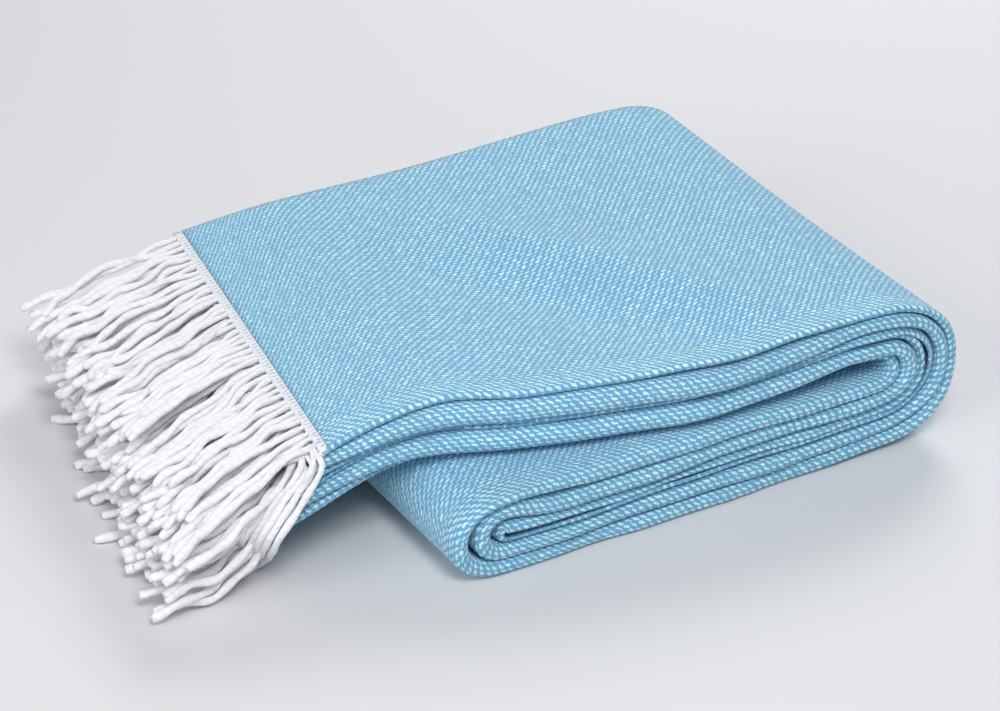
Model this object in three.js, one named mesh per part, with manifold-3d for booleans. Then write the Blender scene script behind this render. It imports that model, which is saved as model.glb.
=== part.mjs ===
// A folded throw blanket: one woven sheet pleated in five, laid in half and folded over,
// with a twisted fringe along both of its ends. Millimetres, +Z up, resting on Z = 0.

import * as THREE from 'three';
import Module from 'manifold-3d';

const wasm = await Module();
wasm.setup();

// The origin is the middle of the resting face.
const ORIGIN_X = 97;
const ORIGIN_Y = 136;

// Cloth
const SHEET_THICKNESS = 1.6;
const REST = SHEET_THICKNESS / 2; // height of the lowest layer's middle
const LAYERS = 5; // pleats across the blanket's width
const DEPTH = 275; // front folds to back folds at the end turns
const FLAT_STEPS = 4; // facets across each layer
const FOLD_STEPS = 4; // facets round each front and back fold
const TURN_STEPS = 6; // facets round each end turn
const FRONT_INSET = [0, 1.5, 3]; // how far each front edge stands back from the first one

// Where the five layers lie between the outermost one (0) and the innermost one (1).
const SPREAD = {
  flat: [0, 0.22, 0.48, 0.78, 1], // the top pair pressed together, a gap under it
  pairs: [0, 0.3, 0.5, 0.8, 1], // two folded pairs and one single layer
  curl: [0, 0.25, 0.45, 0.72, 1], // the loose inner end of the left turn
  even: [0, 0.25, 0.5, 0.75, 1], // the hems
};

// Turns a table with named columns into a list of objects.
const rows = (columns, table) =>
  table.map((row) => Object.fromEntries(columns.map((name, i) => [name, row[i]])));

// Straight runs, a row for each section, in the order in which the cloth passes them.
// x0, z0: outermost layer; x4, z4: innermost layer; front, back: its folds in Y;
// skew: how far the back edge is moved along X.
const RUN = ['x0', 'z0', 'x4', 'z4', 'spread', 'front', 'back', 'skew'];
const TOP_RUN = rows(RUN, [
  [-75, 77.5, -83, 60, 'even', 45, 286, 38],
  [-57, 80.5, -62, 65, 'even', 45, 283, 34],
  [-35, 84, -37, 69.5, 'pairs', 45, 279, 27],
  [-8, 87, -8, 72.8, 'flat', 41, 275, 19],
  [28, 88, 28, 74, 'flat', 25, 272, 11],
  [75, 88.2, 75, 74.6, 'flat', 12, 270, 4],
  [130, 88.6, 130, 74.8, 'flat', 1, 270, 0],
  [186, 88.8, 186, 74.8, 'flat', -1, 272, 0],
]);
const BOTTOM_RUN = rows(RUN, [
  [190, REST, 190, 20.8, 'pairs', -2, 274, 0],
  [100, REST, 100, 20.6, 'pairs', -2, 275, 0],
]);
const MIDDLE_RUN = rows(RUN, [
  [60, 47.3, 60, 28.3, 'pairs', -1.5, 275, 0],
  [150, 46.8, 150, 28.3, 'pairs', -1, 274, 0],
]);
const UNDER_RUN = rows(RUN, [
  [180, 53.6, 180, 69, 'pairs', 0, 272, 0],
  [125, 51, 125, 69, 'pairs', 3, 270, 0],
  [72, 50, 72, 68.6, 'pairs', 14, 270, 4],
  [26, 50, 26, 68.2, 'pairs', 27, 272, 11],
  [-9, 50.6, -9, 67.2, 'pairs', 42, 275, 19],
  [-36, 50.6, -37, 64.4, 'pairs', 45, 279, 27],
  [-64, 46, -61, 59, 'even', 45, 283, 34],
  [-96, 37, -88, 52.6, 'even', 45, 286, 38],
]);

// End turns, a row for each: where it leaves the straight run, the heights at its start and end,
// and how far it reaches past that place, for the outermost and for the innermost layer.
const TURN = ['x', 'start0', 'end0', 'reach0', 'start4', 'end4', 'reach4', 'spread'];
const [RIGHT_TURN, LEFT_TURN, EYE_TURN] = rows(TURN, [
  [237, 88, 3.2, 50.5, 74.6, 20.8, 34, 'pairs'],
  [4, REST, 47.3, -31, 20.6, 28.4, -4, 'curl'],
  [238, 45.4, 56.6, 8, 28.8, 69, 26, 'pairs'],
]);
const TURN_FRONT = -2;
const TURN_SQUARE = 0.9; // below 1 the turns are fuller than an ellipse

// Soft waves of the upper stack, each along a line: a ridge, the dip in front of it and the
// sunken middle of the right edge.
const WAVE = ['x', 'y', 'dx', 'dy', 'length', 'width', 'height'];
const WAVES = rows(WAVE, [
  [150, 125, 0.64, -0.77, 120, 45, 3],
  [85, 100, 0.54, -0.84, 80, 45, -2],
  [265, 140, 0, 1, 110, 30, -4.5],
]);
const WAVE_FLOOR = 50; // the underside of the upper stack, which stays level
const WAVE_TOP = 88;

// Fringe
const HEM_GAP = 1.4; // between the cloth's edge and the hem strip
const HEM_WIDTH = 6;
const HEM_THICKNESS = 2.4; // the strip is doubled over
const STRAND_THICKNESS = 2.9;
const ROOT_TAPER = 0.6; // a strand is thinner where it leaves the strip
const STRAND_SIDES = [[0, 0.6], [-0.55, -0.5], [0.55, -0.5]]; // one flat side below
const STRAND_REST = STRAND_THICKNESS / 2; // height of a strand's middle on the floor
const STRAND_ROOT = 2.5; // how far a strand reaches into the hem strip
const ROOT_POINTS = 2; // the points of a strand that lie in the strip and on its edge
const STRANDS_TOP = [30, 14, 14, 14, 14]; // strands on each layer, the outermost first
const STRANDS_UNDER = [24, 14, 14, 14, 14];
const SIDE_MARGIN = 5; // from a fold to the first strand
const SWAY = { size: 2.2, along: 3, across: 28, layers: 11 }; // sideways, and its phases in radians
const FAN = 0.1; // how much the tips spread from the middle
const SHORTEN = { share: 0.3, across: 61, layers: 37 }; // how much of its last part a strand may lack

// Fall of the fringe from the hem, as parts of the strand: the layer on top and the lowest one.
// skew moves the back strands along X, shift moves a strand along Y.
const FALL = ['part', 'topX', 'topZ', 'topSkew', 'topShift', 'lowX', 'lowZ', 'lowSkew', 'lowShift'];
const FALLS = rows(FALL, [
  [0.3, -108, 68, 38, 0, -119, 17, 40, 0],
  [0.65, -140, 54, 36, 2, -140, STRAND_REST, 48, 7],
  [1, -168, 42, 36, 4, -180, STRAND_REST, 68, 16],
]);
const FRINGE_LAYERS = 2 * LAYERS;

const COLOURS = { cloth: 0x95c2dd, fringe: 0xe4e6ec };

const mix = (a, b, t) => a + (b - a) * t;
const point = (x, y, z) => new THREE.Vector3(x, y, z);

// A section of all five layers: their middles in X and Z, and where they fold in Y.
function section(row) {
  const layers = SPREAD[row.spread].map((t) => ({
    x: mix(row.x0, row.x4, t),
    z: mix(row.z0, row.z4, t),
  }));
  return { layers, front: row.front, back: row.back, skew: row.skew };
}

// The sections round one end turn, on half ellipses.
function turnSections(turn) {
  return Array.from({ length: TURN_STEPS + 1 }, (_, i) => {
    const angle = (Math.PI * i) / TURN_STEPS;
    const full = (value) => Math.sign(value) * Math.abs(value) ** TURN_SQUARE;
    const half = (1 - full(Math.cos(angle))) / 2;
    return section({
      x0: turn.x + turn.reach0 * full(Math.sin(angle)),
      z0: mix(turn.start0, turn.end0, half),
      x4: turn.x + turn.reach4 * full(Math.sin(angle)),
      z4: mix(turn.start4, turn.end4, half),
      spread: turn.spread,
      front: TURN_FRONT,
      back: TURN_FRONT + DEPTH,
      skew: 0,
    });
  });
}

// How high the soft waves lift a point of the upper stack.
function wave(x, y, z) {
  const share = THREE.MathUtils.clamp((z - WAVE_FLOOR) / (WAVE_TOP - WAVE_FLOOR), 0, 1);
  return WAVES.reduce((sum, w) => {
    const along = ((x - w.x) * w.dx + (y - w.y) * w.dy) / w.length;
    const across = ((y - w.y) * w.dx - (x - w.x) * w.dy) / w.width;
    return sum + share * w.height * Math.exp(-along * along - across * across);
  }, 0);
}

// The place of one layer of a section at a share of the way from its front fold to its back fold.
function place(sec, layer, share) {
  const { x, z } = sec.layers[layer];
  const y = mix(sec.front, sec.back, share);
  const along = x + sec.skew * share;
  return point(along, y, z + wave(along, y, z));
}

// One section's line through the pleats, from the outermost layer's back edge to the last edge.
function pleatLine(sec) {
  const width = sec.back - sec.front;
  const line = [];
  const gap = (a, b) =>
    Math.hypot(sec.layers[a].x - sec.layers[b].x, sec.layers[a].z - sec.layers[b].z) / 2 / width;
  for (let k = 0; k < LAYERS; k += 1) {
    const toFront = k % 2 === 0;
    const last = k === LAYERS - 1;
    const frontFold = FRONT_INSET[Math.floor(k / 2)] / width;
    const frontReach = toFront ? (last ? 0 : gap(k, k + 1)) : gap(k - 1, k);
    const backReach = toFront ? (k ? gap(k - 1, k) : 0) : gap(k, k + 1);
    const frontShare = frontFold + frontReach;
    const backShare = 1 - backReach;
    for (let i = 0; i <= FLAT_STEPS; i += 1) {
      const t = i / FLAT_STEPS;
      line.push(place(sec, k, toFront ? mix(backShare, frontShare, t) : mix(frontShare, backShare, t)));
    }
    if (last) continue;
    const from = line[line.length - 1];
    const share = toFront ? frontShare : backShare;
    const to = place(sec, k + 1, share);
    const out = from.distanceTo(to) / 2 * (toFront ? -1 : 1);
    for (let i = 1; i < FOLD_STEPS; i += 1) {
      const angle = (Math.PI * i) / FOLD_STEPS;
      const p = from.clone().lerp(to, (1 - Math.cos(angle)) / 2);
      p.y += out * Math.sin(angle);
      line.push(p);
    }
  }
  return line;
}

// The unit direction of a line of points at one of them.
function direction(line, i) {
  const d = point(0, 0, 0);
  if (i > 0) d.add(line[i].clone().sub(line[i - 1]).normalize());
  if (i < line.length - 1) d.add(line[i + 1].clone().sub(line[i]).normalize());
  return d.normalize();
}

// A closed sheet of the given thickness round a grid of points.
function sheetSolid(grid, thickness) {
  const nu = grid.length;
  const nv = grid[0].length;
  const positions = [];
  const index = [];
  const columns = grid[0].map((_, j) => grid.map((line) => line[j]));
  for (const side of [1, -1]) {
    grid.forEach((line, i) => {
      line.forEach((p, j) => {
        const normal = direction(columns[j], i).cross(direction(line, j)).normalize();
        p.clone().addScaledVector(normal, (side * thickness) / 2).toArray(positions, positions.length);
      });
    });
  }
  const at = (side, i, j) => side * nu * nv + i * nv + j;
  const quad = (a, b, c, d) => index.push(a, b, c, a, c, d);
  for (let i = 0; i < nu - 1; i += 1) {
    for (let j = 0; j < nv - 1; j += 1) {
      quad(at(0, i, j), at(0, i + 1, j), at(0, i + 1, j + 1), at(0, i, j + 1));
      quad(at(1, i, j), at(1, i, j + 1), at(1, i + 1, j + 1), at(1, i + 1, j));
    }
  }
  for (let i = 0; i < nu - 1; i += 1) {
    quad(at(0, i, 0), at(1, i, 0), at(1, i + 1, 0), at(0, i + 1, 0));
    quad(at(0, i, nv - 1), at(0, i + 1, nv - 1), at(1, i + 1, nv - 1), at(1, i, nv - 1));
  }
  for (let j = 0; j < nv - 1; j += 1) {
    quad(at(0, 0, j), at(0, 0, j + 1), at(1, 0, j + 1), at(1, 0, j));
    quad(at(0, nu - 1, j), at(1, nu - 1, j), at(1, nu - 1, j + 1), at(0, nu - 1, j + 1));
  }
  return { positions, index };
}

// A three-sided strand along a line of points, one flat side below.
function strandSolid(line, thickness) {
  const positions = [];
  const index = [];
  const up = point(0, 0, 1);
  line.forEach((p, i) => {
    const side = direction(line, i).cross(up).normalize();
    const rise = side.clone().cross(direction(line, i)).normalize();
    const size = thickness * (i < ROOT_POINTS ? ROOT_TAPER : 1);
    STRAND_SIDES.forEach(([a, b]) => {
      p.clone().addScaledVector(side, a * size).addScaledVector(rise, b * size)
        .toArray(positions, positions.length);
    });
  });
  const n = STRAND_SIDES.length;
  for (let i = 0; i < line.length - 1; i += 1) {
    for (let c = 0; c < n; c += 1) {
      const [a, b] = [i * n + c, i * n + ((c + 1) % n)];
      index.push(a, a + n, b, b, a + n, b + n);
    }
  }
  const end = (line.length - 1) * n;
  index.push(0, 1, 2, end, end + 2, end + 1);
  return { positions, index };
}

const asManifold = ({ positions, index }) => new wasm.Manifold(new wasm.Mesh({
  numProp: 3,
  vertProperties: Float32Array.from(positions),
  triVerts: Uint32Array.from(index),
}));

function fromManifold(solid) {
  const mesh = solid.getMesh();
  return { positions: mesh.vertProperties, index: mesh.triVerts };
}

// The blanket: every section in the order in which the cloth passes it.
const sections = [
  ...TOP_RUN.map(section),
  ...turnSections(RIGHT_TURN),
  ...BOTTOM_RUN.map(section),
  ...turnSections(LEFT_TURN),
  ...MIDDLE_RUN.map(section),
  ...turnSections(EYE_TURN),
  ...UNDER_RUN.map(section),
];
const blanket = sheetSolid(sections.map(pleatLine), SHEET_THICKNESS);

// A section that carries on past a hem by a distance along each layer.
function pastHem(hem, inner, distance) {
  const layers = hem.layers.map((p, k) => {
    const out = new THREE.Vector2(p.x - inner.layers[k].x, p.z - inner.layers[k].z).normalize();
    return { x: p.x + out.x * distance, z: p.z + out.y * distance };
  });
  return { ...hem, layers };
}

// One strand of a fringe: out of its hem strip, then down the fall to its tip.
function strandLine(root, edge, depth, share) {
  const phase = share * SWAY.across + depth * SWAY.layers;
  const side = share - 0.5;
  const line = [root, edge];
  FALLS.forEach((f) => {
    const sway = SWAY.size * f.part * Math.sin(phase + SWAY.along * f.part);
    const spread = side * FAN * DEPTH * f.part;
    line.push(point(
      mix(f.topX, f.lowX, depth) + mix(f.topSkew, f.lowSkew, depth) * share,
      edge.y + mix(f.topShift, f.lowShift, depth) + sway + spread,
      mix(f.topZ, f.lowZ, depth),
    ));
  });
  const tip = line.length - 1;
  const lack = Math.sin(share * SHORTEN.across + depth * SHORTEN.layers) ** 2;
  line[tip].lerp(line[tip - 1], SHORTEN.share * lack);
  return line;
}

// A fringe: the hem strip through all five layers and the strands that are fused to it.
function fringe(hem, inner, counts, depthOf) {
  const near = pastHem(hem, inner, HEM_GAP);
  const far = pastHem(hem, inner, HEM_GAP + HEM_WIDTH);
  const rooted = pastHem(hem, inner, HEM_GAP + HEM_WIDTH - STRAND_ROOT);
  const order = depthOf(0) < depthOf(LAYERS - 1) ? [far, near] : [near, far];
  let solid = asManifold(sheetSolid(order.map(pleatLine), HEM_THICKNESS));
  const margin = SIDE_MARGIN / (hem.back - hem.front);
  counts.forEach((count, k) => {
    for (let i = 0; i < count; i += 1) {
      const share = mix(margin, 1 - margin, (i + 0.5) / count);
      const line = strandLine(place(rooted, k, share), place(far, k, share), depthOf(k), share);
      solid = solid.add(asManifold(strandSolid(line, STRAND_THICKNESS)));
    }
  });
  return fromManifold(solid);
}

const lastLayer = FRINGE_LAYERS - 1;
const fringeTop = fringe(sections[0], sections[1], STRANDS_TOP, (k) => k / lastLayer);
const fringeUnder = fringe(
  sections[sections.length - 1],
  sections[sections.length - 2],
  STRANDS_UNDER,
  (k) => (lastLayer - k) / lastLayer,
);

function mesh(name, { positions, index }, colour, roughness) {
  const geometry = new THREE.BufferGeometry();
  geometry.setAttribute('position', new THREE.Float32BufferAttribute(positions, 3));
  geometry.setIndex(Array.from(index));
  geometry.computeVertexNormals();
  const material = new THREE.MeshStandardMaterial({ color: colour, roughness, metalness: 0 });
  const result = new THREE.Mesh(geometry, material);
  result.name = name;
  return result;
}

const part = new THREE.Group();
part.position.set(-ORIGIN_X, -ORIGIN_Y, 0);
part.add(mesh('blanket', blanket, COLOURS.cloth, 0.9));
part.add(mesh('fringe_top', fringeTop, COLOURS.fringe, 0.95));
part.add(mesh('fringe_under', fringeUnder, COLOURS.fringe, 0.95));

export default part;
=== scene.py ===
# %% [markdown]
# # A folded throw blanket with a fringe
#
# A throw is one woven sheet. Here it is pleated lengthwise in five, laid in half and folded
# over once more, so that both fringed ends come out on the same side. The solids already hold
# that fold as a rigid shape. This lesson lays a finer sheet along the same folds, gives it its
# weave, and lets the twisted strands fall from its two ends.

# %% Load the solids
import math

import bmesh
import bpy
import numpy as np
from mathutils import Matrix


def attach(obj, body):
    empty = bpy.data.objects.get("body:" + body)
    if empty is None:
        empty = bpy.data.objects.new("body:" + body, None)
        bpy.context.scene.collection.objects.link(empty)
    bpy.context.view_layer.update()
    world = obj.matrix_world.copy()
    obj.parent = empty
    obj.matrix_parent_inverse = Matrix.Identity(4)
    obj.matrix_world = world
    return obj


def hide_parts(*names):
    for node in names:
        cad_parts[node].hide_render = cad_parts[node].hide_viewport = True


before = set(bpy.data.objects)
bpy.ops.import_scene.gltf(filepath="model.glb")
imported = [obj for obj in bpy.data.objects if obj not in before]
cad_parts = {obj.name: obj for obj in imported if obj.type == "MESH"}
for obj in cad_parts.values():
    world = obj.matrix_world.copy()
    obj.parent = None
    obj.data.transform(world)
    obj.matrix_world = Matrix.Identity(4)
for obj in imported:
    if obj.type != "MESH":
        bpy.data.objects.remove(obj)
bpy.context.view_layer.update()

# %% [markdown]
# ## Camera, floor and light
#
# The blanket is seen from its front left corner, from about thirty degrees above, through a
# long lens that keeps the far edges nearly parallel. The floor is plain and pale, and wide soft
# lamps stand in for a studio's softboxes: cloth shows its folds best in light that comes mostly
# from one side and fades slowly.

# %% Camera
CAMERA_PLACE = (-0.9725, -1.6223, 1.1544)
CAMERA_PITCH, CAMERA_YAW = math.radians(30.65), math.radians(30.5)

camera_data = bpy.data.cameras.new("camera")
camera_data.lens, camera_data.sensor_width = 144.0, 36.0
camera = bpy.data.objects.new("camera", camera_data)
camera.location = CAMERA_PLACE
camera.rotation_euler = (math.pi / 2 - CAMERA_PITCH, 0.0, -CAMERA_YAW)
bpy.context.collection.objects.link(camera)
bpy.context.scene.camera = camera
bpy.context.scene.view_settings.view_transform = "Standard"
print("camera", [round(c, 3) for c in camera.location])

# %% Floor
def new_piece(name, shape):
    """Turns a bmesh into an object of the scene."""
    mesh = bpy.data.meshes.new(name)
    shape.to_mesh(mesh)
    shape.free()
    piece = bpy.data.objects.new(name, mesh)
    bpy.context.collection.objects.link(piece)
    return piece


shape = bmesh.new()
bmesh.ops.create_grid(shape, x_segments=1, y_segments=1, size=6.0)
floor = new_piece("studio_floor", shape)
floor_paint = bpy.data.materials.new("pale_floor")
floor_paint.use_nodes = True
floor_shader = floor_paint.node_tree.nodes["Principled BSDF"]
floor_shader.inputs["Base Color"].default_value = (0.72, 0.72, 0.73, 1)
floor_shader.inputs["Roughness"].default_value = 0.8
floor.data.materials.append(floor_paint)
print("floor", [round(d, 1) for d in floor.dimensions])

# %% Lamps
# name, place, aimed at, width, watts
LAMPS = [
    ("key_lamp", (1.1, 1.0, 1.2), (0, 0, 0.05), 0.8, 17),
    ("front_lamp", (-0.4, -1.25, 1.65), (0, 0, 0.05), 0.7, 20),
    ("side_lamp", (-1.7, -0.5, 0.9), (0, 0, 0.05), 1.2, 14),
]
for name, place, aim, width, watts in LAMPS:
    lamp_data = bpy.data.lights.new(name, "AREA")
    lamp_data.size, lamp_data.energy = width, watts
    lamp = bpy.data.objects.new(name, lamp_data)
    lamp.location = place
    towards = [a - p for a, p in zip(aim, place)]
    lamp.rotation_euler = (
        math.pi / 2 + math.atan2(towards[2], math.hypot(towards[0], towards[1])),
        0,
        math.atan2(-towards[0], towards[1]),
    )
    bpy.context.collection.objects.link(lamp)
world = bpy.data.worlds.new("studio")
world.use_nodes = True
sky = world.node_tree.nodes["Background"]
sky.inputs["Color"].default_value = (0.9, 0.93, 1.0, 1)
sky.inputs["Strength"].default_value = 0.31
bpy.context.scene.world = world
print("lamps", len(LAMPS))

# %% [markdown]
# ## The path of the fold
#
# Cut the folded blanket across and its five layers run side by side: along the top, round the
# right end, back along the bottom, round the left fold, along the middle, round the small inner
# eye and out again underneath. Each row below is a station on that path, in millimetres. It gives
# the outer and the inner layer's x, the height of every layer, the front and the back edge, how
# far the back is drawn along, how far the two soft folds and the free edge stand back from the
# front, and how much that free edge curls over.

# %% Stations along the fold
SHEET = 1.6
REST = SHEET / 2
LAYERS = 5
DEPTH = 275.0
TABLE_ORIGIN = np.array([97.0, 136.0, 0.0])

# x0, x4, z0, z1, z2, z3, z4, front, back, skew, inset of fold 0-1, of fold 2-3, of edge 4, curl
TOP_RUN = [
    (-75, -83, 77.5, 73.5, 70.0, 63.5, 60.0, 45, 286, 38, 0, 0.5, 3, 0),
    (-57, -62, 80.5, 77.2, 73.9, 67.0, 64.0, 45, 283, 34, 1, 0, 3, 0),
    (-35, -37, 84.0, 81.2, 78.0, 69.8, 67.4, 44, 279, 27, 3, 0, 4, 0),
    (-8, -8, 87.0, 84.6, 81.5, 71.0, 68.8, 39, 275, 19, 4.5, 0, 5, 0),
    (28, 28, 88.0, 85.7, 82.6, 71.3, 69.2, 23, 272, 11, 4.5, 0, 5, 0),
    (75, 75, 88.2, 86.0, 82.9, 71.3, 69.2, 9, 270, 4, 4.5, 0, 5, 0),
    (130, 130, 88.6, 86.4, 81.8, 71.2, 69.0, -2, 270, 0, 5, 0, 5, 0),
    (186, 186, 88.8, 86.6, 81.6, 74.2, 71.8, -3, 272, 0, 4.5, 0, 3, 1.0),
]
BOTTOM_RUN = [
    (190, 190, REST, 8.3, 11.0, 17.4, 20.0, -2, 274, 0, 0, 0, 1, 3.3),
    (100, 100, REST, 8.1, 10.8, 17.0, 19.6, -2, 275, 0, 0, 0, 1, 2.9),
]
MIDDLE_RUN = [
    (30, 30, 47.5, 41.6, 36.6, 28.4, 26.2, -1.5, 275, 0, 0, 0, 1, 2.9),
    (62, 62, 47.3, 38.4, 35.6, 27.6, 25.0, -1.5, 275, 0, 0, 0, 1, 2.4),
    (150, 150, 46.8, 39.2, 36.5, 29.6, 27.0, -1, 274, 0, 0, 0, 1, 3.0),
]
UNDER_RUN = [
    (180, 180, 53.0, 54.9, 56.8, 65.2, 67.4, -1, 272, 0, 14, 0, 4, 0.6),
    (125, 125, 49.8, 51.6, 53.4, 64.4, 66.6, 2, 270, 0, 18, 0, 5, 0),
    (72, 72, 49.5, 51.3, 53.1, 64.4, 66.7, 13, 270, 4, 18, 0, 5, 0),
    (26, 26, 49.5, 51.3, 53.1, 64.2, 66.6, 26, 272, 11, 16, 0, 5, 0),
    (-9, -9, 50.2, 52.0, 53.8, 63.9, 66.3, 41, 275, 19, 10, 0, 5, 0),
    (-36, -37, 50.4, 52.5, 54.8, 62.4, 65.0, 45, 279, 27, 6, 0, 4, 0),
    (-64, -61, 46.0, 49.0, 52.0, 58.2, 61.0, 45, 283, 34, 3, 0, 3, 0),
    (-96, -88, 37.0, 40.6, 44.2, 49.4, 52.8, 45, 286, 38, 1, 0, 3, 0),
]


def run_station(row):
    """Five places in the section, then the front, the back and the rest of the row."""
    return np.concatenate([np.linspace(row[0], row[1], LAYERS), row[2:]])


print("stations", len(TOP_RUN + BOTTOM_RUN + MIDDLE_RUN + UNDER_RUN))

# %% Turns between the runs
# x, then the start, the end and the reach of each layer, and the insets and curl at start and end
RIGHT_TURN = dict(
    x=237,
    start=[88, 85.8, 83.0, 77.6, 75.0],
    end=[3.2, 10.4, 12.6, 18.4, 20.8],
    reach=[50.5, 45.4, 43.2, 38.4, 35.8],
    insets=[(2, 0, 1.5, 3.4), (0, 0, 1, 3.6)],
)
LEFT_TURN = dict(
    x=4,
    start=[REST, 8.2, 10.4, 17.0, 19.2],
    end=[47.3, 44.4, 41.4, 33.0, 29.4],
    reach=[-31, -24, -18.5, -10.5, -5],
    insets=[(0, 0, 1, 2.8), (0, 0, 1, 4.2)],
)
EYE_TURN = dict(
    x=238,
    start=[45.4, 39.2, 37.0, 30.6, 28.2],
    end=[56.6, 58.8, 61.0, 66.6, 69.0],
    reach=[7.5, 13, 15.2, 22.6, 25.2],
    insets=[(0, 0, 1, 3.6), (7, 0, 1.5, 3.0)],
)
TURN_FRONT = -2
TURN_SQUARE = 0.9


def turn_stations(turn, steps):
    """A squarish half-turn of the five layers."""
    start, end, reach = (np.array(turn[key]) for key in ("start", "end", "reach"))
    first, last = (np.array(row) for row in turn["insets"])
    rows = []
    for angle in np.linspace(0, math.pi, steps + 1):
        out = math.sin(angle) ** TURN_SQUARE if 0 < angle < math.pi else 0.0
        down = math.copysign(abs(math.cos(angle)) ** TURN_SQUARE, math.cos(angle))
        rows.append(np.concatenate([
            turn["x"] + reach * out,
            start + (end - start) * (1 - down) / 2,
            [TURN_FRONT, TURN_FRONT + DEPTH, 0],
            first + (last - first) * angle / math.pi,
        ]))
    return rows


stations = np.array(
    [run_station(row) for row in TOP_RUN]
    + turn_stations(RIGHT_TURN, 18)
    + [run_station(row) for row in BOTTOM_RUN]
    + turn_stations(LEFT_TURN, 14)
    + [run_station(row) for row in MIDDLE_RUN]
    + turn_stations(EYE_TURN, 14)
    + [run_station(row) for row in UNDER_RUN]
)
print("stations with turns", len(stations))

# %% [markdown]
# ## A smooth line through the stations
#
# Cloth bends evenly, so the stations are joined by a smooth curve that passes through each of
# them (a Catmull-Rom curve, with its tangents weighted by the distance to each neighbour so that
# close stations don't overshoot). It is read off every few millimetres, closer in the turns.

# %% Smooth curve
def smooth_through(places, values, wanted):
    """Values at the wanted places on a smooth curve through the given ones."""
    step = np.diff(places)
    slope = np.diff(values, axis=0) / step[:, None]
    tangent = np.vstack([
        slope[:1],
        (slope[:-1] * step[1:, None] + slope[1:] * step[:-1, None]) / (step[:-1] + step[1:])[:, None],
        slope[-1:],
    ])
    k = np.clip(np.searchsorted(places, wanted, side="right") - 1, 0, len(step) - 1)
    t = ((wanted - places[k]) / step[k])[:, None]
    h = step[k][:, None]
    return (
        (2 * t**3 - 3 * t**2 + 1) * values[k]
        + (t**3 - 2 * t**2 + t) * h * tangent[k]
        + (3 * t**2 - 2 * t**3) * values[k + 1]
        + (t**3 - t**2) * h * tangent[k + 1]
    )


def run_length(section_x, section_z):
    """Distance along each layer's own line."""
    steps = np.hypot(np.diff(section_x, axis=0), np.diff(section_z, axis=0))
    return np.vstack([np.zeros(steps.shape[1]), np.cumsum(steps, axis=0)])


STEP_LENGTH = 6.0
station_places = run_length(stations[:, :LAYERS], stations[:, LAYERS:2 * LAYERS]).mean(axis=1)
wanted = np.concatenate([
    np.linspace(a, b, max(1, math.ceil((b - a) / STEP_LENGTH)), endpoint=False)
    for a, b in zip(station_places[:-1], station_places[1:])
] + [station_places[-1:]])
path = smooth_through(station_places, stations, wanted)
print("sections along the sheet", len(path))
layer_x, layer_z = path[:, :LAYERS], np.maximum(path[:, LAYERS:2 * LAYERS], REST)
front, back, skew, *insets, curl = path[:, 2 * LAYERS:].T

# %% A hand's unevenness
# size and length of the soft waves in the folded edges, in millimetres
EDGE_WAVES = [(0.7, 150), (0.45, 61)]
for number, inset in enumerate(insets):
    for size, length in EDGE_WAVES:
        inset += size * np.sin(2 * math.pi * wanted / length + 2.1 * number)
print("folded edges stand back by, mm:", [(round(i.min(), 1), round(i.max(), 1)) for i in insets])

# %% [markdown]
# ## The pleats
#
# In each section the sheet runs from the back to the front, turns down round a soft edge, runs
# to the back again, and so on through the five layers. The last one ends at the front, where its
# free edge curls over towards the layer that faces it.

# %% Pleat each section
FLAT_STEPS = [52, 13, 13, 13, 11]
FOLD_STEPS = 10
EDGE_LENGTH, EDGE_STEPS = 7.0, 6


def flat_shares(layer):
    """Where the columns of one flat layer lie, closer together at the free edge."""
    shares = np.linspace(0, 1, FLAT_STEPS[layer] + 1)
    if layer < LAYERS - 1:
        return shares
    edge = 1 - EDGE_LENGTH / DEPTH
    return np.concatenate([shares * edge, np.linspace(edge, 1, EDGE_STEPS + 1)[1:]])


def pleat_columns():
    """Columns across the sheet: x, z, share of the depth, layer, and place on the layer."""
    made = []
    depth = back - front
    for layer in range(LAYERS):
        nxt, last = min(layer + 1, LAYERS - 1), max(layer - 1, 0)
        here = np.stack([layer_x[:, layer], layer_z[:, layer]])
        to_next = np.stack([layer_x[:, nxt], layer_z[:, nxt]]) - here
        to_last = np.stack([layer_x[:, last], layer_z[:, last]]) - here
        half_next, half_last = np.hypot(*to_next) / 2 / depth, np.hypot(*to_last) / 2 / depth
        towards_front = layer % 2 == 0
        near = insets[layer // 2] / depth + (half_next if towards_front else half_last)
        far = 1 - (half_last if towards_front else half_next)
        first, end = (far, near) if towards_front else (near, far)
        for along in flat_shares(layer):
            share = first + (end - first) * along
            x, z = here
            if layer == LAYERS - 1:
                bend = np.clip(1 - (share - near) * depth / EDGE_LENGTH, 0, 1)
                over = curl * (1 - np.sqrt(1 - bend**2)) / np.hypot(*to_last)
                x, z = x - to_last[0] * over, z - to_last[1] * over
            made.append((x, z, share, layer, along))
        if layer == LAYERS - 1:
            break
        for step in range(1, FOLD_STEPS):
            angle = math.pi * step / FOLD_STEPS
            part = (1 - math.cos(angle)) / 2
            bulge = half_next * math.sin(angle) * (-1 if towards_front else 1)
            x, z = here + to_next * part
            made.append((x, z, end + bulge, layer, 1 + part))
    return made


columns = pleat_columns()
print("columns across the sheet", len(columns))

# %% [markdown]
# ## Soft ridges and troughs
#
# Nobody folds a blanket quite flat. One long ridge runs over the top from the far left to the
# near right, with a shallow dip before it, and the top sinks a little where it goes over the
# round end. Each is a bell-shaped swell with its own place, direction, length, width and height.
# They fade downwards, because the lower layers are pressed flat. A narrow crease along the ridge
# is in the uppermost layer alone.

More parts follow.
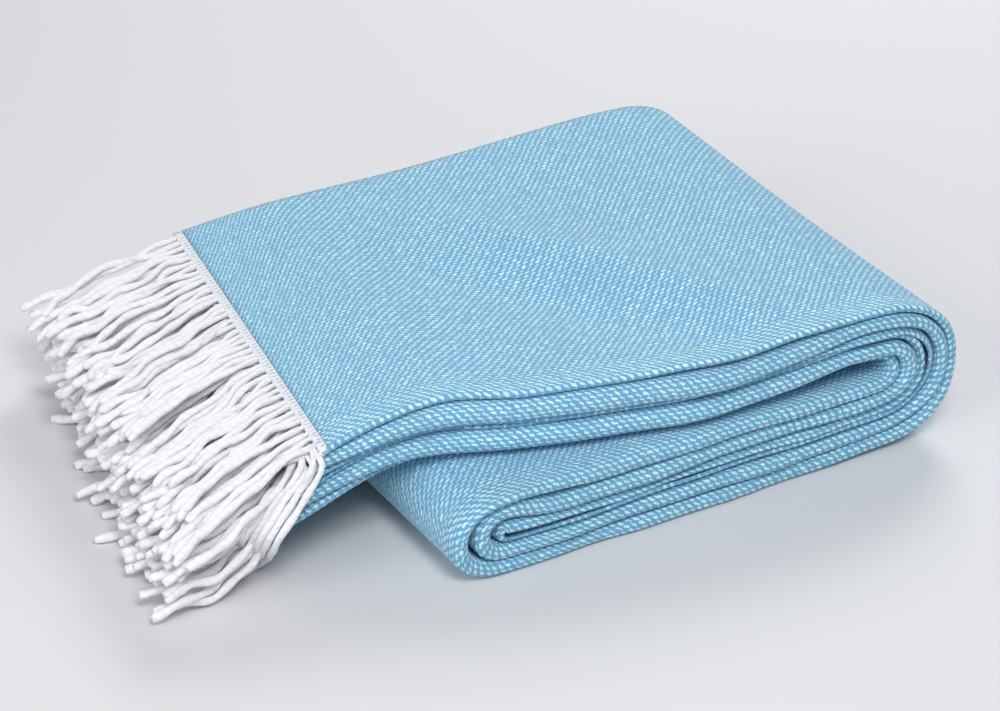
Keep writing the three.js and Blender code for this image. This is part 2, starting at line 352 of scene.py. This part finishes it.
# %% Swells
# x, y, direction x, y, length, width, height
SWELLS = [
    (134, 122, 0.52, -0.86, 105, 26, 6.0),
    (94, 94, 0.55, -0.83, 85, 24, -5.0),
    (265, 140, 0, 1, 110, 30, -4.5),
]
CREASES = [(128, 130, 0.52, -0.86, 78, 8, 2.0)]
SWELL_FROM, SWELL_TO = 50.0, 88.0


def bells(rows, x, y):
    """Height of bell-shaped swells at a place."""
    lift = np.zeros_like(x)
    for px, py, dx, dy, length, width, height in rows:
        along = ((x - px) * dx + (y - py) * dy) / length
        across = ((y - py) * dx - (x - px) * dy) / width
        lift += height * np.exp(-(along**2) - across**2)
    return lift


def swell(x, y, z, layer):
    """Height that the ridges and troughs add at a place on a layer."""
    rows = SWELLS + CREASES if layer == 0 else SWELLS
    return bells(rows, x, y) * np.clip((z - SWELL_FROM) / (SWELL_TO - SWELL_FROM), 0, 1)


sheet_places = np.empty((len(path), len(columns), 3))
for j, (x, z, share, layer, along) in enumerate(columns):
    y = front + (back - front) * share
    x = x + skew * share
    sheet_places[:, j] = np.stack([x, y, z + swell(x, y, z, layer)], axis=1)
print("sheet reaches, mm:", sheet_places.min(axis=(0, 1)).round(1), sheet_places.max(axis=(0, 1)).round(1))

# %% [markdown]
# ## The cloth's own measure
#
# The weave follows the threads, not the room. Every point of the sheet therefore keeps its place
# on the flat cloth, in metres along the length and across the width, in a UV map. Layers that
# share a front fold share one measure along the length, so the threads stay square to the fold.

# %% Lay the threads
lengths = run_length(layer_x, layer_z)
pair_lengths = np.stack([lengths[:, :2].mean(axis=1), lengths[:, 2:4].mean(axis=1), lengths[:, 4]], axis=1)
thread_u = np.empty((len(path), len(columns)))
for j, (x, z, share, layer, along) in enumerate(columns):
    pair = layer // 2
    flat_share = min(along, 1.0)
    at_front = flat_share if layer % 2 == 0 else 1 - flat_share
    neighbour = min(max(pair - 1 if layer % 2 == 0 else pair + 1, 0), 2)
    middle = (pair_lengths[:, pair] + pair_lengths[:, neighbour]) / 2
    thread_u[:, j] = middle + (pair_lengths[:, pair] - middle) * at_front
print("length along each pair of layers, mm:", pair_lengths[-1].round())

# %% Lay the threads across
steps_across = np.linalg.norm(np.diff(sheet_places, axis=1), axis=2)
walked = np.hstack([np.zeros((len(path), 1)), np.cumsum(steps_across, axis=1)])
HALF_ROUND = 1.499
fold_middles = [
    next(j for j, (x, z, share, on, along) in enumerate(columns) if on == layer and along >= HALF_ROUND)
    for layer in (0, 2)
] + [len(columns) - 1]
at_folds = walked[:, fold_middles]
fold_places = at_folds.mean(axis=0)
thread_v = np.empty_like(walked)
for i, (row, at) in enumerate(zip(walked, at_folds)):
    before = row < at[0]
    thread_v[i] = np.where(before, row - at[0] + fold_places[0], np.interp(row, at, fold_places))
CLOTH_LENGTH = float(thread_u[-1].mean())
print("length of cloth along the fold, mm:", round(CLOTH_LENGTH))

# %% [markdown]
# ## The sheet
#
# A flat grid is laid down first, one row for each section and one column for each place across,
# and every point of it is then carried to its place in the fold. A Solidify modifier gives the
# sheet its thickness to both sides and closes its hems and edges.

# %% Make the sheet
MM = 0.001
shape = bmesh.new()
rows, across = len(path) - 1, len(columns) - 1
bmesh.ops.create_grid(shape, x_segments=rows, y_segments=across, size=0.5)
thread_map = shape.loops.layers.uv.new("threads")
grid_index = {}
for vert in shape.verts:
    i, j = round((vert.co.x + 0.5) * rows), round((vert.co.y + 0.5) * across)
    grid_index[vert] = (i, j)
for vert, (i, j) in grid_index.items():
    vert.co = (sheet_places[i, j] - TABLE_ORIGIN) * MM
for face in shape.faces:
    face.smooth = True
    for loop in face.loops:
        i, j = grid_index[loop.vert]
        loop[thread_map].uv = (thread_u[i, j] * MM, thread_v[i, j] * MM)
cloth = new_piece("blanket_cloth", shape)
thickness = cloth.modifiers.new("cloth_thickness", "SOLIDIFY")
thickness.thickness, thickness.offset = SHEET * MM, 0.0
print("sheet", len(cloth.data.vertices), "points")

# %% [markdown]
# ## The twill
#
# The blanket is woven of a pale blue weft over a white warp. The warp comes up as short flecks,
# about three millimetres long, in rows that are set off by about half a repeat: that is what
# gives twill its slanting lines. Over a fold the flecks lie flatter, and they are painted whiter
# there: painted light, for the clearer flecks that the fold faces show where sheen hazes the top.
# They are drawn in the cloth's own measure by plain arithmetic nodes: which row, how far
# along the repeat, and how far from the middle of the fleck.

# %% Node helpers
class Nodes:
    """Short ways to add shader nodes to one material."""

    def __init__(self, name):
        self.material = bpy.data.materials.new(name)
        self.material.use_nodes = True
        self.tree = self.material.node_tree
        self.shader = self.tree.nodes["Principled BSDF"]

    def add(self, kind, **settings):
        node = self.tree.nodes.new(kind)
        for key, value in settings.items():
            setattr(node, key, value)
        return node

    def feed(self, socket, value):
        if isinstance(value, bpy.types.NodeSocket):
            self.tree.links.new(value, socket)
        else:
            socket.default_value = value

    def math(self, operation, *values):
        node = self.add("ShaderNodeMath", operation=operation)
        for socket, value in zip(node.inputs, values):
            self.feed(socket, value)
        return node.outputs[0]

    def soft_step(self, value, low, high):
        node = self.add("ShaderNodeMapRange", interpolation_type="SMOOTHSTEP")
        for key, given in (("Value", value), ("From Min", low), ("From Max", high)):
            self.feed(node.inputs[key], given)
        return node.outputs[0]

    def noise(self, vector, scale, detail=2.0):
        node = self.add("ShaderNodeTexNoise")
        self.feed(node.inputs["Vector"], vector)
        node.inputs["Scale"].default_value = scale
        node.inputs["Detail"].default_value = detail
        return node.outputs["Fac"]

    def mix(self, factor, first, second):
        node = self.add("ShaderNodeMix", data_type="RGBA")
        self.feed(node.inputs["Factor"], factor)
        self.feed(node.inputs["A"], first)
        self.feed(node.inputs["B"], second)
        return node.outputs["Result"]


print("node helpers ready")

# %% Twill
FLECK_REPEAT, ROW_PITCH, ROW_OFFSET = 4.3, 2.5, 0.55
FLECK_HALF_LENGTH, FLECK_HALF_WIDTH = 1.6, 0.74
FLAT_SLANT, FOLD_SLANT = -0.34, 0.36
FOLD_NEAR, FOLD_FAR = 7.0, 24.0
RAGGEDNESS = 3.0
BLUE_WEFT, WHITE_WARP = (0.045, 0.31, 0.57, 1), (0.66, 0.94, 1.0, 1)

twill = Nodes("blue_twill")
threads = twill.add("ShaderNodeUVMap", uv_map="threads").outputs["UV"]
split = twill.add("ShaderNodeSeparateXYZ")
twill.feed(split.inputs[0], threads)


def waver(scale, size):
    """A soft noise that pushes the threads aside, in millimetres."""
    return twill.math("MULTIPLY", twill.math("SUBTRACT", twill.noise(threads, scale), 0.5), size)


along_mm = twill.math("ADD", twill.math("MULTIPLY", split.outputs["X"], 1000.0), waver(330.0, 3.2))
across_mm = twill.math("ADD", twill.math("MULTIPLY", split.outputs["Y"], 1000.0), waver(250.0, 2.2))
from_fold = 1000.0
for place in fold_places:
    away_from_it = twill.math("ABSOLUTE", twill.math("SUBTRACT", across_mm, float(place)))
    from_fold = twill.math("MINIMUM", away_from_it, from_fold)
on_fold = twill.soft_step(from_fold, FOLD_FAR, FOLD_NEAR)
row_place = twill.math("DIVIDE", across_mm, ROW_PITCH)
row_number = twill.math("FLOOR", row_place)
repeat = twill.math(
    "ADD",
    twill.math("DIVIDE", along_mm, FLECK_REPEAT),
    twill.math("MULTIPLY", row_number, ROW_OFFSET),
)
from_middle = twill.math("MULTIPLY", twill.math("SUBTRACT", twill.math("FRACT", repeat), 0.5), FLECK_REPEAT)
from_row = twill.math("MULTIPLY", twill.math("SUBTRACT", twill.math("FRACT", row_place), 0.5), ROW_PITCH)
slant = twill.math("ADD", twill.math("MULTIPLY", on_fold, FOLD_SLANT - FLAT_SLANT), FLAT_SLANT)
slanted = twill.math("SUBTRACT", from_row, twill.math("MULTIPLY", from_middle, slant))
distance = twill.math(
    "ADD",
    twill.math("POWER", twill.math("DIVIDE", twill.math("ABSOLUTE", from_middle), FLECK_HALF_LENGTH), 3.0),
    twill.math("POWER", twill.math("DIVIDE", slanted, FLECK_HALF_WIDTH), 2.0),
)
heather = twill.noise(threads, 1100.0, 3.0)
ragged = twill.math("ADD", distance, twill.math("MULTIPLY", twill.math("SUBTRACT", heather, 0.5), RAGGEDNESS))
fleck = twill.soft_step(ragged, 1.7, 0.25)
print("twill repeats every", FLECK_REPEAT, "mm, rows every", ROW_PITCH, "mm")

# %% Heather, sheen, and painted light on the folds
cell = twill.add("ShaderNodeCombineXYZ")
twill.feed(cell.inputs[0], twill.math("FLOOR", repeat))
twill.feed(cell.inputs[1], row_number)
chance = twill.add("ShaderNodeTexWhiteNoise")
twill.feed(chance.inputs["Vector"], cell.outputs[0])
# painted light: near a fold (on_fold) the flecks are made whiter, though the weave is the same there; the
# random part is each fleck's own tone
fleck_tone_and_fold_light = twill.math(
    "ADD",
    twill.math("MULTIPLY", chance.outputs["Value"], 0.4),
    twill.math("ADD", twill.math("MULTIPLY", on_fold, 0.14), 0.42),
)
whiteness = twill.math(
    "ADD",
    twill.math("MULTIPLY", fleck, fleck_tone_and_fold_light),
    twill.math("MULTIPLY", twill.math("SUBTRACT", heather, 0.1), 0.42),
)
cloth_colour = twill.mix(twill.math("MINIMUM", whiteness, 1.0), BLUE_WEFT, WHITE_WARP)
twill.feed(twill.shader.inputs["Base Color"], cloth_colour)
height = twill.math("ADD", fleck, twill.math("MULTIPLY", heather, 0.7))
bump = twill.add("ShaderNodeBump")
bump.inputs["Distance"].default_value = 0.0007
bump.inputs["Strength"].default_value = 0.7
twill.feed(bump.inputs["Height"], height)
twill.feed(twill.shader.inputs["Normal"], bump.outputs[0])
twill.shader.inputs["Roughness"].default_value = 0.92
twill.shader.inputs["Specular IOR Level"].default_value = 0.12
twill.shader.inputs["Sheen Weight"].default_value = 0.3
twill.shader.inputs["Sheen Roughness"].default_value = 0.5
cloth.data.materials.append(twill.material)
print("twill nodes", len(twill.tree.nodes))

# %% [markdown]
# ## Where the strands fall
#
# Each strand leaves the hem, bends down over the layers under it and comes to rest, the lowest
# ones on the floor. The rows below say where the strands of the uppermost and of the lowest
# layer pass at three shares of their length; the layers between them fall in between. On the
# real fringe the strands cling to each other in loose clumps and cross near their ends, so a
# seeded chance bends them sideways and lifts them, with the same result in every run.

# %% Fall of the fringe
STRAND_REST = 2.4
# part of the length, upper x, z, skew, shift, lower x, z, skew, shift
FALLS = [
    (0.3, -108, 68, 38, 0, -119, 17, 40, 0),
    (0.65, -140, 54, 36, 2, -140, STRAND_REST, 48, 7),
    (1.0, -164, 42, 36, 4, -180, STRAND_REST, 68, 16),
]
FRINGE_LAYERS = 2 * LAYERS
FRINGE_BACK = 306.0
FAN = 0.1
HEM_GAP, HEM_WIDTH, HEM_THICKNESS = 0.05, 5.5, 2.4
chance_of = np.random.default_rng(11)


def hem_line(end):
    """Places and outward directions along the hem at one end of the sheet."""
    edge, inner = (sheet_places[0], sheet_places[2]) if end == "top" else (sheet_places[-1], sheet_places[-3])
    away = edge - inner
    return edge, away / np.linalg.norm(away, axis=1)[:, None]


def strand_line(root, away, share, depth, waves):
    """Places that one strand passes through, from inside the hem to its tip."""
    points = [root + away * (HEM_GAP + 2), root + away * (HEM_GAP + HEM_WIDTH + 2.5)]
    drift, lift, bend, hook = chance_of.normal(0, 1, 4)
    reach = chance_of.uniform(-0.45, 0.03)
    for part, ux, uz, uskew, ushift, lx, lz, lskew, lshift in FALLS:
        x = ux + (lx - ux) * depth + (uskew + (lskew - uskew) * depth) * share
        y = root[1] + ushift + (lshift - ushift) * depth + (share - 0.5) * FAN * DEPTH * part
        y += part * (3.5 * math.sin(31 * share + waves[0]) + 2.5 * math.sin(67 * share + waves[1]))
        y += part * 5.5 * drift + 4.0 * bend * math.sin(part * math.pi) + 6.0 * hook * part**4
        z = uz + (lz - uz) * depth + part * (3.0 * lift + 3.5 * math.sin(43 * share + waves[2]))
        points.append(np.array([x + 2.5 * part * lift, min(y, FRINGE_BACK), max(z, STRAND_REST)]))
    points[-1] = points[-2] + (points[-1] - points[-2]) * (1 + reach)
    wavy = [points[0], points[1]]
    for a, b in zip(points[1:], points[2:]):
        kink = chance_of.normal(0, 1, 3) * (0.6, 1.3, 1.0)
        middle = (a + b) / 2 + kink + [0, 0, 1.5]
        wavy += [np.maximum(middle, [-np.inf, -np.inf, STRAND_REST]), b]
    return np.array(wavy)


print("hem points", len(hem_line("top")[0]))

# %% Strands round the front corner, and one stray
# x, y, z of the places that they pass
CORNER_FALL = np.array([
    [-81, 40, 73], [-92, 37, 58], [-107, 35, 42], [-107, 68, 3], [-129, 63, 3], [-143, 65, 3],
], float)
STRAY_FALL = np.array([[-119, 167, 14], [-135, 170, 10], [-160, 172, 6]], float)
# layer whose hem it leaves, share of the fall that it keeps, set off in x and y
CORNER_STRANDS = [
    (0, 1.0, 0, 0), (0, 0.86, -3, 4), (1, 0.95, -4, 3), (1, 0.8, -8, 8),
    (2, 0.9, -7, 6), (3, 0.97, -9, 9), (3, 0.78, -13, 13), (4, 0.88, -12, 12),
]


def corner_line(root, away, keep, dx, dy):
    """Places of a strand that hangs round the corner."""
    kept = max(2, round(keep * len(CORNER_FALL)))
    fall = CORNER_FALL[:kept] + [dx, dy, 0]
    fall[:, 2] = np.clip(fall[:, 2], STRAND_REST, root[2] - 5)
    return np.vstack([root + away * (HEM_GAP + 2), root + away * (HEM_GAP + HEM_WIDTH + 1), fall])


print("corner strands", len(CORNER_STRANDS))

# %% [markdown]
# ## Twisted strands
#
# A strand is two soft yarns twisted round each other. Its outline is therefore not round: it has
# two lobes that turn along the strand. It is thin where it leaves the hem and opens towards its
# cut end. There are hundreds of them, so their rings are worked out as arrays and all strands of
# one hem become a single mesh.

# %% Strand shape
STRAND_RINGS, STRAND_SIDES = 34, 8
# share of the length, radius
STRAND_RADII = [(0, 1.6), (0.1, 1.9), (0.5, 2.4), (0.85, 2.7), (0.97, 2.9), (1, 2.2)]
TWIST_PITCH = 17.0
YARN_TURN = 2.0
around = np.arange(STRAND_SIDES) * 2 * math.pi / STRAND_SIDES


def strand_rings(points, turn):
    """Rings of places round one strand, the distance along it and the way round it, in millimetres."""
    places = np.concatenate([[0], np.cumsum(np.linalg.norm(np.diff(points, axis=0), axis=1))])
    wanted = np.linspace(0, places[-1], STRAND_RINGS)
    line = smooth_through(places, points, wanted)
    direction = np.gradient(line, axis=0)
    direction /= np.linalg.norm(direction, axis=1)[:, None]
    side = np.cross(direction, [0.0, 0.0, 1.0])
    side /= np.linalg.norm(side, axis=1)[:, None]
    upward = np.cross(side, direction)
    radius = np.interp(wanted / places[-1], *zip(*STRAND_RADII))
    lobes = 0.88 + 0.13 * np.cos(2 * (around[None] - turn) - 2 * math.pi * wanted[:, None] / TWIST_PITCH)
    size = radius[:, None] * lobes
    rings = (
        line[:, None]
        + side[:, None] * (size * np.cos(around))[..., None]
        + upward[:, None] * (size * np.sin(around))[..., None]
    )
    rings[..., 2] = np.maximum(rings[..., 2], 0.1)
    return rings, wanted, around * YARN_TURN


def tube_quads(rings, sides):
    """Corners of the faces between neighbouring rings."""
    a = np.arange(rings - 1)[:, None] * sides + np.arange(sides)[None]
    b = np.arange(rings - 1)[:, None] * sides + (np.arange(sides)[None] + 1) % sides
    return np.stack([a, b, b + sides, a + sides], axis=-1).reshape(-1, 4)


print("faces in a strand", len(tube_quads(STRAND_RINGS, STRAND_SIDES)))

# %% [markdown]
# ## The hem
#
# Between the cloth and the strands runs a narrow white band, where the warp is drawn together
# and stitched over. It is one rounded strip that follows the hem through all five layers.

# %% Hem strip
HEM_SIDES = 8


def hem_rings(end):
    """Rings of places along the hem strip, the distance along it and the way round it."""
    edge, away = hem_line(end)
    direction = np.gradient(edge, axis=0)
    direction /= np.linalg.norm(direction, axis=1)[:, None]
    upward = np.cross(direction, away)
    upward /= np.linalg.norm(upward, axis=1)[:, None]
    turn = np.arange(HEM_SIDES) * 2 * math.pi / HEM_SIDES
    wide = np.sign(np.cos(turn)) * np.abs(np.cos(turn)) ** 0.6 * HEM_WIDTH / 2 + HEM_WIDTH / 2 + HEM_GAP
    tall = np.sign(np.sin(turn)) * np.abs(np.sin(turn)) ** 0.6 * HEM_THICKNESS / 2
    rings = edge[:, None] + away[:, None] * wide[None, :, None] + upward[:, None] * tall[None, :, None]
    along = np.concatenate([[0], np.cumsum(np.linalg.norm(np.diff(edge, axis=0), axis=1))])
    return rings, along, turn * HEM_WIDTH / 4


print("hem strip rings", len(hem_rings("top")[0]))

# %% Fringe meshes
STRANDS = {"top": [42, 32, 30, 28, 26], "under": [28, 26, 26, 26, 26]}
SIDE_MARGIN = 3.0


def tube(places, along, turn):
    """Faces of a closed tube through rings of places, and the UV of each face corner."""
    rings, sides = places.shape[:2]
    quads = tube_quads(rings, sides)
    spots = np.stack(np.broadcast_arrays(along[:, None], turn[None]), -1).reshape(-1, 2)
    corners = spots[quads].reshape(rings - 1, sides, 4, 2)
    corners[:, -1, 1:3, 1] += turn[1] * sides
    ends = np.array([np.arange(sides)[::-1], (rings - 1) * sides + np.arange(sides)])
    return quads, ends, np.concatenate([corners.reshape(-1, 2), spots[ends].reshape(-1, 2)])


def fringe_piece(name, end):
    """The strip and all strands of one hem as one mesh, with their length and turn as a UV map."""
    edge, away = hem_line(end)
    tubes = [hem_rings(end)]
    for k, count in enumerate(STRANDS[end]):
        depth = (k if end == "top" else FRINGE_LAYERS - 1 - k) / (FRINGE_LAYERS - 1)
        here = [j for j, column in enumerate(columns) if column[3] == k and column[4] <= 1]
        here.sort(key=lambda j: edge[j, 1])
        ys = edge[here, 1]
        waves = chance_of.uniform(0, 2 * math.pi, 3)
        for n in range(count):
            share = (n + 0.5 + chance_of.uniform(-0.25, 0.25)) / count
            y = ys[0] + SIDE_MARGIN + (ys[-1] - ys[0] - 2 * SIDE_MARGIN) * share
            root, out = (
                np.array([np.interp(y, ys, row[here, axis]) for axis in range(3)])
                for row in (edge, away)
            )
            line = strand_line(root, out, share, depth, waves)
            tubes.append(strand_rings(line, chance_of.uniform(0, math.pi)))
        front_root, front_out = edge[here[1]], away[here[1]]
        if end == "top":
            for layer, keep, dx, dy in CORNER_STRANDS:
                if layer == k:
                    line = corner_line(front_root, front_out, keep, dx, dy)
                    tubes.append(strand_rings(line, chance_of.uniform(0, math.pi)))
    if end == "under":
        tubes.append(strand_rings(np.vstack([edge[here[len(here) // 2]], STRAY_FALL]), 0.0))
    verts, faces, spots, finish, start = [], [], [], [], 0
    for number, (rings, along, turn) in enumerate(tubes):
        quads, ends, corners = tube(rings, along, turn)
        verts.append(rings.reshape(-1, 3))
        faces += (quads + start).tolist() + (ends + start).tolist()
        spots.append(corners)
        finish += [int(number == 0)] * (len(quads) + len(ends))
        start += len(verts[-1])
    mesh = bpy.data.meshes.new(name)
    mesh.from_pydata((np.concatenate(verts) - TABLE_ORIGIN) * MM, [], faces)
    mesh.polygons.foreach_set("use_smooth", np.ones(len(faces), bool))
    mesh.polygons.foreach_set("material_index", finish)
    layer = mesh.uv_layers.new(name="yarn")
    layer.data.foreach_set("uv", (np.concatenate(spots) * MM).astype(np.float32).ravel())
    piece = bpy.data.objects.new(name, mesh)
    bpy.context.collection.objects.link(piece)
    print(name, "strands", len(tubes) - 1, "faces", len(mesh.polygons))
    return piece


fringe_top = fringe_piece("fringe_top_strands", "top")
fringe_under = fringe_piece("fringe_under_strands", "under")

# %% [markdown]
# ## White yarn
#
# The strands are the same white warp as the flecks. Soft wool-like yarn scatters light, so it has
# hardly any gloss, a little sheen, and fine fibres that lie along the twist. Light also passes
# a little way into it, which keeps the creases between the strands pale.

# %% Yarn finish
PLY_LENGTH = 5.0
YARN_SHADE, YARN_WHITE = (0.78, 0.79, 0.83, 1), (0.98, 0.98, 1.0, 1)
yarn = Nodes("white_yarn")
yarn_place = yarn.add("ShaderNodeUVMap", uv_map="yarn").outputs["UV"]
stretch = yarn.add("ShaderNodeMapping")
stretch.inputs["Scale"].default_value = (1.0, 3.0, 1.0)
yarn.feed(stretch.inputs["Vector"], yarn_place)
fibre = yarn.noise(stretch.outputs[0], 900.0, 4.0)
yarn_split = yarn.add("ShaderNodeSeparateXYZ")
yarn.feed(yarn_split.inputs[0], yarn_place)
twist = yarn.math(
    "ADD",
    yarn.math("MULTIPLY", yarn_split.outputs["X"], 1000.0 * math.pi / PLY_LENGTH),
    yarn.math("MULTIPLY", yarn_split.outputs["Y"], 1000.0 / YARN_TURN),
)
# painted shade: the grooves between the two plies are made darker in colour and their crowns paler; the same
# ridges also give the bump its relief
ply_relief_and_groove_shade = yarn.soft_step(yarn.math("ABSOLUTE", yarn.math("SINE", twist)), 0.0, 0.6)
pale = yarn.math("ADD", yarn.math("MULTIPLY", fibre, 0.8), yarn.math("MULTIPLY", ply_relief_and_groove_shade, 0.2))
yarn.feed(yarn.shader.inputs["Base Color"], yarn.mix(pale, YARN_SHADE, YARN_WHITE))
fuzz = yarn.add("ShaderNodeBump")
fuzz.inputs["Distance"].default_value = 0.0005
fuzz.inputs["Strength"].default_value = 0.7
yarn.feed(fuzz.inputs["Height"], yarn.math("ADD", fibre, yarn.math("MULTIPLY", ply_relief_and_groove_shade, 0.6)))
yarn.feed(yarn.shader.inputs["Normal"], fuzz.outputs[0])
yarn.shader.inputs["Roughness"].default_value = 0.95
yarn.shader.inputs["Specular IOR Level"].default_value = 0.12
yarn.shader.inputs["Sheen Weight"].default_value = 0.2
yarn.shader.inputs["Subsurface Weight"].default_value = 0.3
yarn.shader.inputs["Subsurface Radius"].default_value = (1.0, 1.0, 1.0)
yarn.shader.inputs["Subsurface Scale"].default_value = 0.002
print("yarn nodes", len(yarn.tree.nodes))

# %% Hem finish
HEM_PITCH = 3.2
HEM_WHITE, HEM_HOLE = (0.82, 0.84, 0.88, 1), (0.18, 0.30, 0.42, 1)
hem = Nodes("stitched_hem")
hem_place = hem.add("ShaderNodeSeparateXYZ")
hem.feed(hem_place.inputs[0], hem.add("ShaderNodeUVMap", uv_map="yarn").outputs["UV"])


def hem_wave(socket, pitch):
    """Minus one to one, once in every pitch in millimetres."""
    return hem.math("COSINE", hem.math("MULTIPLY", socket, 2000.0 * math.pi / pitch))


dots = hem.math(
    "MULTIPLY",
    hem_wave(hem_place.outputs["X"], HEM_PITCH),
    hem_wave(hem_place.outputs["Y"], HEM_PITCH * 1.3),
)
gap = hem.math("MULTIPLY", hem.soft_step(dots, 0.3, 0.9), 0.6)
hem.feed(hem.shader.inputs["Base Color"], hem.mix(gap, HEM_WHITE, HEM_HOLE))
dimple = hem.add("ShaderNodeBump")
dimple.inputs["Distance"].default_value = 0.0008
dimple.inputs["Strength"].default_value = 0.8
dimple.invert = True
hem.feed(dimple.inputs["Height"], gap)
hem.feed(hem.shader.inputs["Normal"], dimple.outputs[0])
hem.shader.inputs["Roughness"].default_value = 0.95
hem.shader.inputs["Specular IOR Level"].default_value = 0.12
for piece in (fringe_top, fringe_under):
    piece.data.materials.append(yarn.material)
    piece.data.materials.append(hem.material)
print("hem nodes", len(hem.tree.nodes))

# %% [markdown]
# ## Put the pieces on the body
#
# The sheet stands for the blanket's solid and each fringe for its own. All ride on the one body.

# %% Attach the pieces and hide the solids
for piece, node, slot in (
    (cloth, "blanket", "cloth"),
    (fringe_top, "fringe_top", "fringe"),
    (fringe_under, "fringe_under", "fringe"),
):
    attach(piece, "root")
    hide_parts(node)
